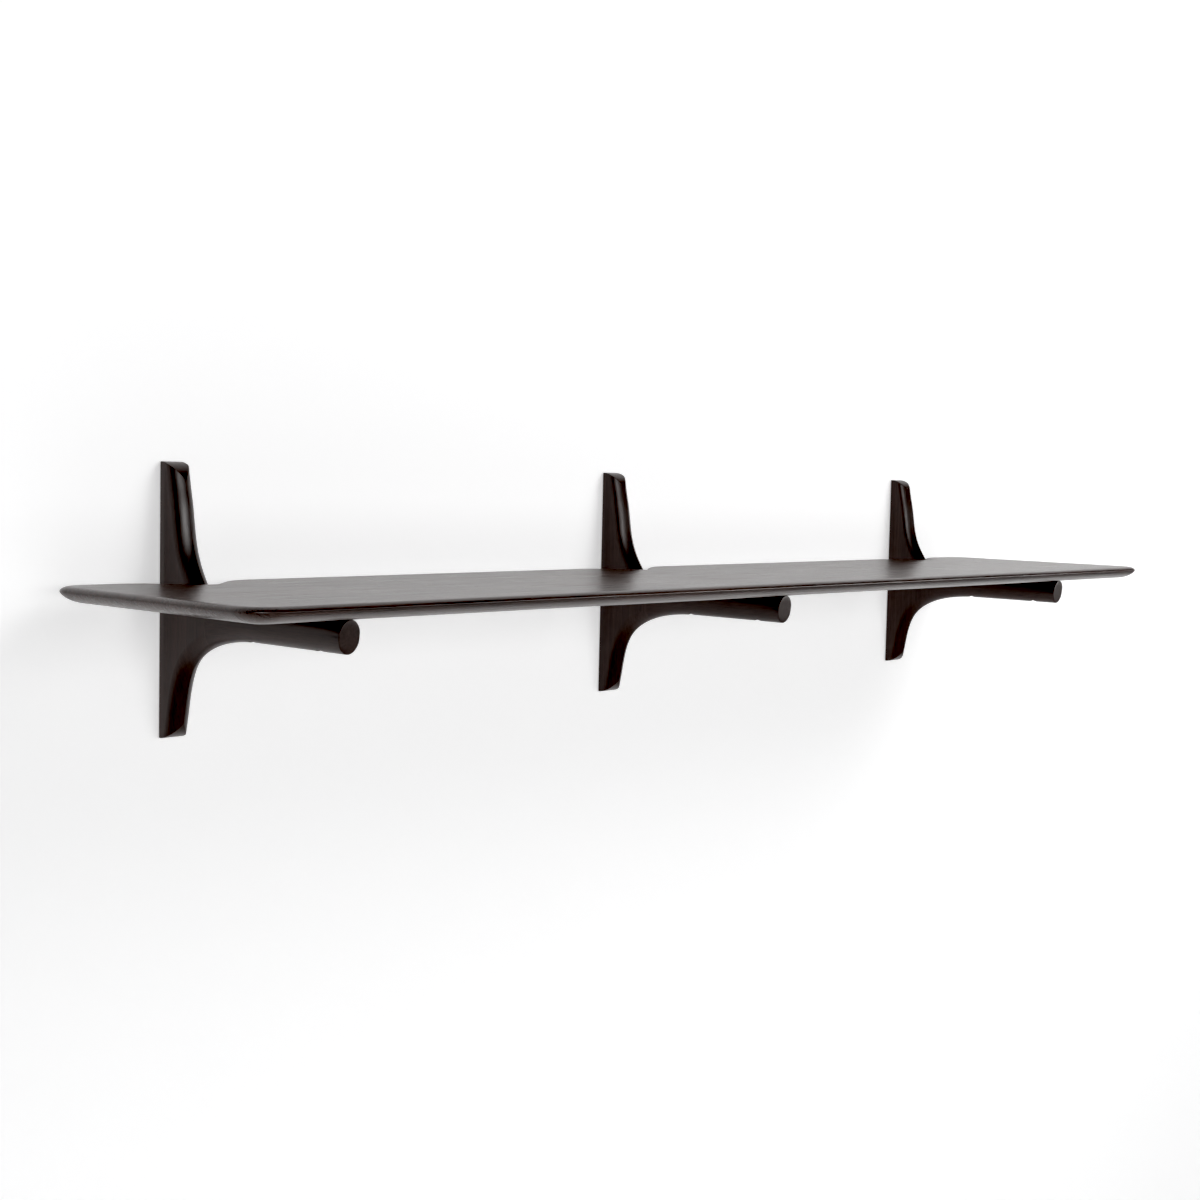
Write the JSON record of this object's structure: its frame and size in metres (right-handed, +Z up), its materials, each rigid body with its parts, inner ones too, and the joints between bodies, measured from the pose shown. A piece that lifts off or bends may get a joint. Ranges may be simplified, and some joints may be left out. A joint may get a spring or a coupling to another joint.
{
  "type": "wall shelf",
  "caption": "Long thin hardwood wall shelf with a pointed rounded edge, carried on sculpted wooden brackets that rise through notches at its back.",
  "frame": {"origin": "on the wall, on the middle bracket's centre line, level with the top of the shelf board", "axes": "+X along the shelf to the right as seen from the room, +Y into the wall, +Z up"},
  "size_m": [1.6, 0.347, 0.2815],
  "materials": {
    "stained_wood": "satin varnish over a dark brown stain",
    "beech": "planed, unfinished",
    "zinc_steel": "bright zinc plate",
    "brass": "turned"
  },
  "bodies": {
    "root": {"shelf_board": "stained_wood", "left_post": "stained_wood", "left_arm": "stained_wood", "left_loose_tenon": "beech", "left_board_bolts": "zinc_steel", "left_board_inserts": "brass", "left_upper_keyhole_plate": "zinc_steel", "left_lower_keyhole_plate": "zinc_steel", "left_plate_screws": "zinc_steel", "middle_post": "stained_wood", "middle_arm": "stained_wood", "middle_loose_tenon": "beech", "middle_board_bolts": "zinc_steel", "middle_board_inserts": "brass", "middle_upper_keyhole_plate": "zinc_steel", "middle_lower_keyhole_plate": "zinc_steel", "middle_plate_screws": "zinc_steel", "right_post": "stained_wood", "right_arm": "stained_wood", "right_loose_tenon": "beech", "right_board_bolts": "zinc_steel", "right_board_inserts": "brass", "right_upper_keyhole_plate": "zinc_steel", "right_lower_keyhole_plate": "zinc_steel", "right_plate_screws": "zinc_steel"}
  },
  "joints": []
}
